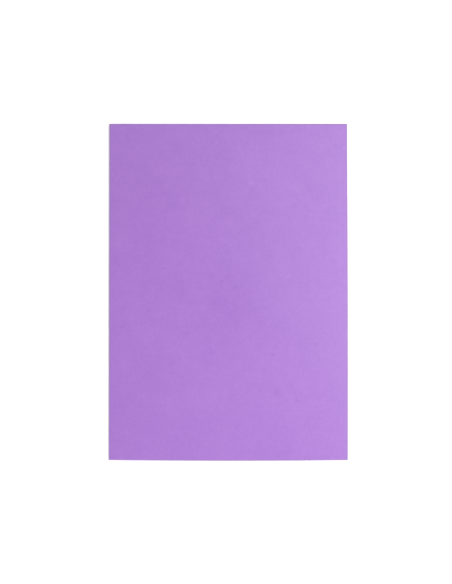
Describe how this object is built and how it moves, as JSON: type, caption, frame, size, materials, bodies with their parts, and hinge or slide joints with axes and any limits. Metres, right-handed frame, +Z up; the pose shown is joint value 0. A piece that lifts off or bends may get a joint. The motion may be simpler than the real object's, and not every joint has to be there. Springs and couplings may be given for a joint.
{
  "type": "craft foam sheet",
  "caption": "Thin flat rectangular sheet of soft closed-cell foam in plain purple, cut square, for cutting, gluing and stamping in craft work.",
  "frame": {"origin": "middle of the underside, where the sheet rests on a level surface", "axes": "+X across the sheet's width, +Y along its length, +Z up out of its top face"},
  "size_m": [0.21, 0.297, 0.002],
  "materials": {
    "eva_foam": "matte"
  },
  "bodies": {
    "root": {"foam_sheet": "eva_foam"}
  },
  "joints": []
}
